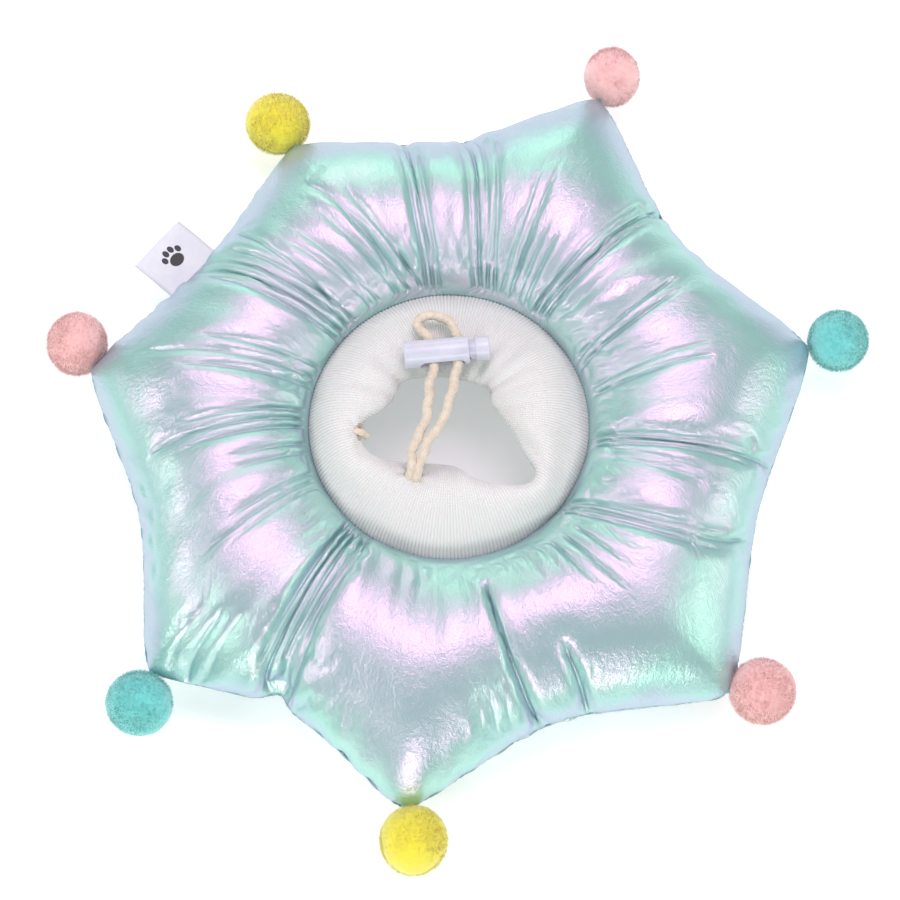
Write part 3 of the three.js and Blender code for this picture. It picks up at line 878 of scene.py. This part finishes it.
def braid(name, path, up, radius, material, closed=False, seed=3):
    """A soft braided cord: two crossing families of strands, uneven along its length."""
    rng = np.random.default_rng(seed)
    sides = 28
    length = length_along(path)[:, None]
    turn = full_turn(sides)
    pitch = 2 * math.pi / 5.2
    one = np.cos(4 * turn + pitch * 2 * length)
    other = np.cos(4 * turn - pitch * 2 * length)
    relief = 0.16 * np.maximum(one, other)
    uneven = (0.1 * np.sin(length * 1.7 + rng.uniform(0, 6))
              + 0.08 * np.sin(length * 0.63 + rng.uniform(0, 6)))
    swell = radius * (0.94 + uneven * 0.5) + relief
    if not closed:
        swell[[0, -1]] *= 0.6
    points, faces = tube(path, swell, sides, up, closed)
    return add_mesh(name, points, faces, material)


def buttonhole(name, centre, normal, heading):
    """A ring of close stitches round a slit in the knit."""
    side = unit(np.cross(normal, heading))
    turn = full_turn(26)
    path = centre + np.cos(turn)[:, None] * side * 2.7 + np.sin(turn)[:, None] * heading * 1.5
    pieces = []
    for at, way in zip(path, unit(path - centre)):
        line = np.array([at - way * 0.8 - normal * 0.5, at - way * 0.3 + normal * 0.3,
                         at + way * 0.4 + normal * 0.35, at + way * 1.0 - normal * 0.4])
        pieces.append(tube(spline(line, 8), 0.2, 6, np.cross(way, normal)))
    return join_tubes(name, pieces, BUTTONHOLE_THREAD)


def cuff_height_at(cuff_points, x, y):
    top = cuff_points[:, :TOP_ROWS].reshape(-1, 3)
    near = np.argsort(np.hypot(top[:, 0] - x, top[:, 1] - y))[:30]
    return top[near, 2].mean()


def cuff_trim(cuff_points):
    """The cord in the hem, the stitching of its channel and the two buttonholes."""
    angle = np.arange(420) * 360 / 420
    span = CUFF_RADIUS - hem_radius(angle)
    here, _, down = cuff_across(angle, 1 - hem_distance(angle, 3.2) / span)
    radius, height = here + down * 2.7
    ring = ring_points(radius, angle, height)
    place(braid("hem_cord_braid", ring, (0, 0, 1), 1.0, CORD, closed=True), "collar", "cord", "hem_cord")
    here, _, down = cuff_across(angle, 1 - CHANNEL / span)
    radius, height = here + down * 3.5
    seam = ring_points(radius, angle, height)[::3]
    place(stitches("channel_stitches", seam, (0, 0, -1), 1.6, 0.25, KNIT_THREAD),
          "collar", "knit_thread", "channel_seam_thread")
    for name, (x, y), heading in (("exit_buttonhole", EXIT[:2], (0.23, 0.97, 0)),
                                  ("side_buttonhole", SECOND_BUTTONHOLE, (1, -0.2, 0))):
        centre = np.array([x, y, cuff_height_at(cuff_points, x, y) + 0.2])
        piece = buttonhole(name, centre, np.array([0, 0, 1.0]), np.array(heading, float))
        place(piece, "collar", "knit_thread")
    x, y = SECOND_BUTTONHOLE
    z = cuff_height_at(cuff_points, x, y)
    peek = spline([(x - 2.6, y + 0.6, z - 2.2), (x - 0.8, y + 0.2, z + 0.4), (x + 1.6, y - 0.3, z + 0.2),
                   (x + 3.4, y - 0.8, z - 2.4)], 60)
    place(braid("side_cord_turn", peek, (0, 0, 1), 1.3, CORD, seed=9), "collar", "cord")


# ---------------------------------------------------------------- drawcord tail and lock

TAIL_X = unit(np.cross(TAIL_Y, (0, 0, 1)))
TAIL_Z = np.cross(TAIL_X, TAIL_Y)


def in_axes(points, origin, x, y, z):
    points = np.asarray(points, float)
    return origin + points[..., :1] * x + points[..., 1:2] * y + points[..., 2:] * z


def drawcord():
    """The two strands and the pull loop that come out of the front buttonhole."""
    rng = np.random.default_rng(8)
    path = spline(CORD_PATH, 620)
    length = np.linspace(0, 1, len(path))[:, None]
    wander = sum(rng.normal(size=3) * 0.16 * np.sin(length * rng.uniform(40, 120) + rng.uniform(0, 6))
                 for _ in range(6))
    path = path + wander * (1, 0.3, 0.6)
    path = in_axes(path, EXIT, TAIL_X, TAIL_Y, TAIL_Z)
    piece = braid("drawcord_tail", path, TAIL_Z, CORD_RADIUS, CORD)
    place(piece, "drawcord", "cord", "cord_tail")


PRESS = np.array(JOINTS["plunger_press"]["axis"], float)
LOCK_X = -PRESS
LOCK_Z = TAIL_Z
LOCK_Y = np.cross(LOCK_Z, LOCK_X)
LOCK_CENTRE = EXIT + TAIL_Y * LOCK_AT
BARREL_LEFT, BARREL_RIGHT, BARREL_RADIUS = -14.2, 10.2, 5.15
BORE_RADIUS, BARREL_WALL = 4.05, 1.2
PLUNGER_LEFT, PLUNGER_RADIUS = -9.2, 3.7
HEAD_START, HEAD_END, HEAD_RADIUS = 12.5, 17.9, 4.6
SLOT_HEIGHT = 4.8


def in_lock(points):
    return in_axes(points, LOCK_CENTRE, LOCK_X, LOCK_Y, LOCK_Z)


def rounded(profile, radii, steps=5):
    """A profile with each inner corner rounded off by an arc-like curve."""
    made = [profile[0]]
    for before, here, after, radius in zip(profile, profile[1:], profile[2:], radii):
        before, here, after = (np.array(p, float) for p in (before, here, after))
        to_before, to_after = unit(before - here), unit(after - here)
        for t in np.linspace(0, 1, steps if radius else 1):
            start, end = here + to_before * radius, here + to_after * radius
            made.append(tuple((1 - t) ** 2 * start + 2 * t * (1 - t) * here + t * t * end))
    made.append(profile[-1])
    return np.array(made)


def lathe(name, profile, material, sides=72):
    """A (radius, along) profile turned about the barrel axis, closed on the axis at both ends."""
    turn = full_turn(sides)
    body = profile[1:-1]
    grid = np.stack([np.broadcast_to(body[:, None, 1], (len(body), sides)),
                     body[:, None, 0] * np.cos(turn), body[:, None, 0] * np.sin(turn)], -1)
    ends = np.array([[profile[0][1], 0, 0], [profile[-1][1], 0, 0]])
    points = np.concatenate([grid.reshape(-1, 3), ends])
    count = len(body) * sides
    ring = np.arange(sides)
    first = np.stack([np.roll(ring, -1), ring, np.full(sides, count)], 1)
    last_ring = (len(body) - 1) * sides + ring
    last = np.stack([last_ring, np.roll(last_ring, -1), np.full(sides, count + 1)], 1)
    faces = [grid_faces(len(body), sides, False, True, flip=True), np.concatenate([first, last])]
    return add_mesh(name, in_lock(points), faces, material)


def cut_slot(piece, half_width, offset=0.0):
    """Cuts the cord passage, a rounded slot straight through the barrel."""
    end = SLOT_HEIGHT / 2
    turn = full_turn(40)
    x = np.sign(np.cos(turn)) * (half_width - end) + np.cos(turn) * end + offset
    z = np.sin(turn) * end
    ends = [np.stack([x, np.full_like(x, y), z], -1) for y in (-12, 12)]
    sides = len(turn)
    points = in_lock(np.concatenate(ends))
    ring = np.arange(sides)
    walls = np.stack([ring, ring + sides, np.roll(ring, -1) + sides, np.roll(ring, -1)], 1)
    caps = np.stack([ring, ring[::-1] + sides])
    tool = add_mesh("slot_tool", points, [walls, caps], PLASTIC)
    check = bmesh.new()
    check.from_mesh(tool.data)
    bmesh.ops.recalc_face_normals(check, faces=check.faces)
    check.to_mesh(tool.data)
    check.free()
    modifier = piece.modifiers.new("slot", "BOOLEAN")
    modifier.operation, modifier.solver, modifier.object = "DIFFERENCE", "EXACT", tool
    shown = piece.evaluated_get(bpy.context.evaluated_depsgraph_get())
    cut = bpy.data.meshes.new_from_object(shown)
    piece.modifiers.clear()
    piece.data = cut
    bpy.data.objects.remove(tool)


def sharp_edges(piece, degrees=35):
    """Smooth shading that breaks at the corners of a moulding."""
    with bpy.context.temp_override(object=piece, selected_editable_objects=[piece], active_object=piece):
        bpy.ops.object.shade_smooth_by_angle(angle=math.radians(degrees))


def cord_lock():
    """The barrel, the plunger that presses into it, and the spring behind the plunger."""
    wall = BARREL_LEFT + BARREL_WALL
    barrel = rounded([(0, BARREL_LEFT), (BARREL_RADIUS, BARREL_LEFT), (BARREL_RADIUS, BARREL_RIGHT),
                      (BORE_RADIUS, BARREL_RIGHT), (BORE_RADIUS, wall), (0, wall)], (0.7, 0.55, 0.3, 0.2))
    barrel = lathe("lock_barrel_moulded", barrel, PLASTIC)
    cut_slot(barrel, 8.5)
    stem = rounded([(0, PLUNGER_LEFT), (PLUNGER_RADIUS, PLUNGER_LEFT), (PLUNGER_RADIUS, HEAD_START),
                    (HEAD_RADIUS, HEAD_START), (HEAD_RADIUS, HEAD_END), (0, HEAD_END)], (0.3, 0.2, 0.4, 0.7))
    plunger = lathe("lock_plunger_moulded", stem, PLASTIC)
    cut_slot(plunger, 8.9, 1.9)
    for piece in (barrel, plunger):
        sharp_edges(piece)
    place(barrel, "cord_lock", "lock_plastic", "lock_barrel")
    place(plunger, "lock_button", "lock_plastic", "lock_plunger")
    turns, wire, coil = 4, 0.28, 2.6
    start, end = wall + wire + 0.1, PLUNGER_LEFT - wire - 0.1
    t = np.linspace(0, 1, 160)
    helix = np.stack([start + (end - start) * t, coil * np.cos(2 * math.pi * turns * t),
                      coil * np.sin(2 * math.pi * turns * t)], -1)
    grid, faces = tube(helix, wire, 10, (1, 0, 0))
    spring = add_mesh("lock_spring_coil", in_lock(grid), faces, SPRING)
    place(spring, "cord_lock", "spring_wire", "lock_spring")
    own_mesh(spring)


# ---------------------------------------------------------------- label


def side_label():
    """A folded ribbon caught in the rim seam, with a paw print."""
    low, high = (in_mm(corner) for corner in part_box("side_label"))
    hinge = in_mm(JOINTS["label_flap"]["pos_m"])
    along = np.array(JOINTS["label_flap"]["axis"], float)
    heading = np.cross((0, 0, 1), along)
    centre = (low + high) / 2
    heading *= np.sign(np.dot(centre - hinge, heading))
    across = np.cross((0, 0, 1), heading)
    length, width, gap, tucked_in = 19.0, 25.0, 0.45, 1.2
    rows, columns = 26, 18
    v = np.linspace(-0.5, 0.5, columns)
    upper = np.linspace(-tucked_in, length - 0.6, rows)
    fold = np.linspace(0.4, 2.7, 6)
    distance = np.concatenate([upper, length + 0.25 * np.sin(fold), upper[::-1]])
    lift = np.concatenate([np.full(rows, gap), gap * np.cos(fold), np.full(rows, -gap)])
    wave = 0.9 * step(distance / length)[:, None] * np.cos(2.4 * v + 0.5)[None] - 0.9
    wave = wave + 0.35 * np.sin(distance / 5)[:, None]
    start = np.array([hinge[0], hinge[1], 0])
    points = (start + distance[:, None, None] * heading + (v * width)[None, :, None] * across
              + (lift[:, None] + wave)[..., None] * (0, 0, 1))
    label = add_mesh("side_label_ribbon", points, grid_faces(len(distance), columns, False), RIBBON)
    solid = label.modifiers.new("ply", "SOLIDIFY")
    solid.thickness, solid.offset = 0.22 * MM, 0
    place(label, "label", "label_ribbon", "side_label")

    def spot(x, y):
        """A point on the label's upper face, x across and y along it from its middle."""
        d = length * 0.55 + y
        h = gap + 0.17 + 0.9 * step(d / length) * math.cos(2.4 * x / width + 0.5) - 0.9
        h += 0.35 * math.sin(d / 5)
        return start + d * heading + x * across + np.array([0, 0, h])

    marks = [(0, -2.2, 3.0, 2.5), (-3.6, 0.8, 1.1, 1.5), (-1.3, 2.6, 1.1, 1.6), (1.3, 2.6, 1.1, 1.6),
             (3.6, 0.8, 1.1, 1.5)]
    points, faces, start_at = [], [], 0
    turn = full_turn(28)
    for x, y, wide, tall in marks:
        ring = [spot(x + wide * math.cos(a), y + tall * math.sin(a)) for a in turn]
        points += [spot(x, y), *ring]
        around = np.arange(len(turn)) + 1 + start_at
        faces.append(np.stack([np.full(len(turn), start_at), around, np.roll(around, -1)], 1))
        start_at += len(turn) + 1
    printed = add_mesh("side_label_print", np.array(points), np.concatenate(faces), ink())
    place(printed, "label", "label_ribbon")


# ---------------------------------------------------------------- pom-poms

FIBRES = 6400
ROOT_DEPTH = 0.35


def pompom(name, seed):
    """A ball of clipped pile: a lumpy skin with single fibres standing out of it."""
    rng = np.random.default_rng(seed)
    low, high = (in_mm(corner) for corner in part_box(f"pompom_{name}"))
    centre, radius = (low + high) / 2, (high[2] - low[2]) / 2
    ball = bmesh.new()
    bmesh.ops.create_icosphere(ball, subdivisions=5, radius=1)
    sphere = np.array([vertex.co for vertex in ball.verts])
    faces = np.array([[vertex.index for vertex in face.verts] for face in ball.faces])
    ball.free()
    size = radius * (1.02 + 0.02 * rng.normal())
    squash = 1 + 0.03 * rng.normal(size=3)
    form = lumps(rng, sphere, 2.2) * 0.38 + lumps(rng, sphere, 0.8) * 0.12
    form += lumps(rng, sphere, 0.16, 60) * 0.06
    skin = sphere * squash * (size + form)[:, None]
    tips = unit(rng.normal(size=(FIBRES, 3)))
    root = tips * squash * (size - ROOT_DEPTH)
    lean = rng.normal(size=(FIBRES, 3)) * 0.3
    way = unit(tips + lean)
    long = rng.uniform(0.9, 1.75, FIBRES)[:, None]
    side = unit(np.cross(way, rng.normal(size=(FIBRES, 3))))
    other = np.cross(way, side)
    curl = rng.normal(size=(FIBRES, 3)) * 0.12
    levels = []
    for share, thick in ((0, 0.075), (0.6, 0.055)):
        at = root + way * long * share + curl * share ** 2
        for turn in full_turn(3):
            levels.append(at + (side * math.cos(turn) + other * math.sin(turn)) * thick)
    levels.append(root + way * long + curl)
    fibres = np.stack(levels, 1)
    offset = (np.arange(FIBRES) * 7)[:, None, None] + len(skin)
    walls = np.array([[0, 1, 4, 3], [1, 2, 5, 4], [2, 0, 3, 5]])[None] + offset
    points_at = np.array([[3, 4, 6], [4, 5, 6], [5, 3, 6]])[None] + offset
    feet = np.array([[2, 1, 0]])[None] + offset
    triangles = np.concatenate([faces, points_at.reshape(-1, 3), feet.reshape(-1, 3)])
    points = np.concatenate([skin, fibres.reshape(-1, 3)]) + centre
    colour = COLOURS[name]
    piece = add_mesh(f"pompom_{name}_pile", points, [triangles, walls.reshape(-1, 4)], PILES[colour])
    place(piece, f"pompom_{name}", f"pompom_{colour}", f"pompom_{name}")
    tie(name, centre, rng)


def tie(name, centre, rng):
    """The sewing thread between a point and its pom-pom."""
    tip = TIPS[name]
    way = unit(centre - tip)
    side = np.cross(way, (0, 0, 1))
    up = np.array([0, 0, 1.0])
    tubes = []
    for i in range(5):
        turn = 2 * math.pi * i / 5 + rng.uniform(-0.3, 0.3)
        spread = side * math.cos(turn) + up * math.sin(turn)
        line = [tip + way * along + spread * away
                for along, away in ((-2.2, 0.9), (0.2, 0.75), (1.6, 0.45), (3.4, 0.8))]
        tubes.append(tube(spline(line, 14), 0.26, 8, np.cross(way, spread)))
    t = np.linspace(0, 1, 90)
    wound = tip + way * (0.5 + 1.3 * t)[:, None]
    turn = 2 * math.pi * 4 * t
    wound = wound + side * (0.85 * np.cos(turn))[:, None] + up * (0.85 * np.sin(turn))[:, None]
    tubes.append(tube(wound, 0.24, 8, way))
    piece = join_tubes(f"pompom_{name}_thread", tubes, SEAM_THREAD)
    place(piece, f"tie_{name}", "seam_thread", f"pompom_tie_{name}")


# ---------------------------------------------------------------- stage


def stage_floor():
    half = 3000
    points = np.array([(-half, -half, BASE), (half, -half, BASE), (half, half, BASE), (-half, half, BASE)])
    paint = Paint("pale_floor")
    mottle = paint.noise(paint.place(), 30)
    colour = paint.ramp(mottle, (0.3, (0.93, 0.93, 0.93)), (0.7, (0.95, 0.95, 0.95)))
    floor = add_mesh("floor", points - (0, 0, 0.2), np.array([[0, 1, 2, 3]]),
                     paint.finish(paint.principled(colour, 0.9, Emission_Color=(1, 1, 1, 1),
                                                   Emission_Strength=0.25)))


# Name, direction, elevation, distance, size, power and colour
SOFT_BOXES = [
    ("top_box", 80, 72, 1.2, (0.75, 0.5), 5.6, (1, 0.74, 0.95)),
    ("left_box", 190, 36, 1.3, (0.7, 0.22), 3.6),
    ("right_box", -8, 30, 1.3, (0.6, 0.2), 2.8),
    ("front_box", 268, 27, 1.3, (0.9, 0.22), 5.0),
    ("back_box", 95, 22, 1.3, (0.9, 0.22), 2.6),
]


def soft_light(name, direction, elevation, distance, size, power, colour=(1, 1, 1)):
    """A soft box aimed at the collar, direction in degrees round from +X."""
    lamp = bpy.data.lights.new(name, "AREA")
    lamp.energy, lamp.color, lamp.shape = power, colour, "RECTANGLE"
    lamp.size, lamp.size_y = size
    holder = bpy.data.objects.new(name, lamp)
    bpy.context.scene.collection.objects.link(holder)
    a, e = math.radians(direction), math.radians(elevation)
    at = Vector((math.cos(a) * math.cos(e), math.sin(a) * math.cos(e), math.sin(e))) * distance
    holder.location = at
    holder.rotation_euler = (-at).to_track_quat("-Z", "Y").to_euler()


def world_light():
    """White to the camera, dimmer to the foil, so that folds keep their depth."""
    world = bpy.data.worlds.new("studio")
    bpy.context.scene.world = world
    world.use_nodes = True
    nodes, links = world.node_tree.nodes, world.node_tree.links
    nodes.clear()
    path = nodes.new("ShaderNodeLightPath")
    shown = None
    for ray, colour, strength in ((None, (0.93, 1, 0.97, 1), 0.6),
                                  ("Is Glossy Ray", (0.62, 0.86, 0.8, 1), 0.4),
                                  ("Is Camera Ray", (1, 1, 1, 1), 1.0)):
        light = nodes.new("ShaderNodeBackground")
        light.inputs["Color"].default_value = colour
        light.inputs["Strength"].default_value = strength
        if ray:
            mixed = nodes.new("ShaderNodeMixShader")
            links.new(path.outputs[ray], mixed.inputs[0])
            links.new(shown, mixed.inputs[1])
            links.new(light.outputs[0], mixed.inputs[2])
            light = mixed
        shown = light.outputs[0]
    links.new(shown, nodes.new("ShaderNodeOutputWorld").inputs[0])


def camera():
    lens = bpy.data.cameras.new("camera")
    lens.lens, lens.sensor_width = 94.7, 36
    holder = bpy.data.objects.new("camera", lens)
    bpy.context.scene.collection.objects.link(holder)
    elevation, distance, target = math.radians(71), 0.9, Vector((0.0004, -0.008, 0))
    back = Vector((0, -math.cos(elevation), math.sin(elevation)))
    holder.location = target + back * distance
    holder.rotation_euler = (-back).to_track_quat("-Z", "Y").to_euler()
    bpy.context.scene.camera = holder
    bpy.context.scene.view_settings.view_transform = "Standard"


# ---------------------------------------------------------------- assembly

cover("front_cover", 1, 11, 16)
cover("back_cover", -1, 12, 8)
wadding()
ring_stitching()
cuff_trim(knit_cuff())
drawcord()
cord_lock()
side_label()
for number, point in enumerate(VALLEYS):
    pompom(point, 100 + number)
stage_floor()
for box in SOFT_BOXES:
    soft_light(*box)
world_light()
camera()
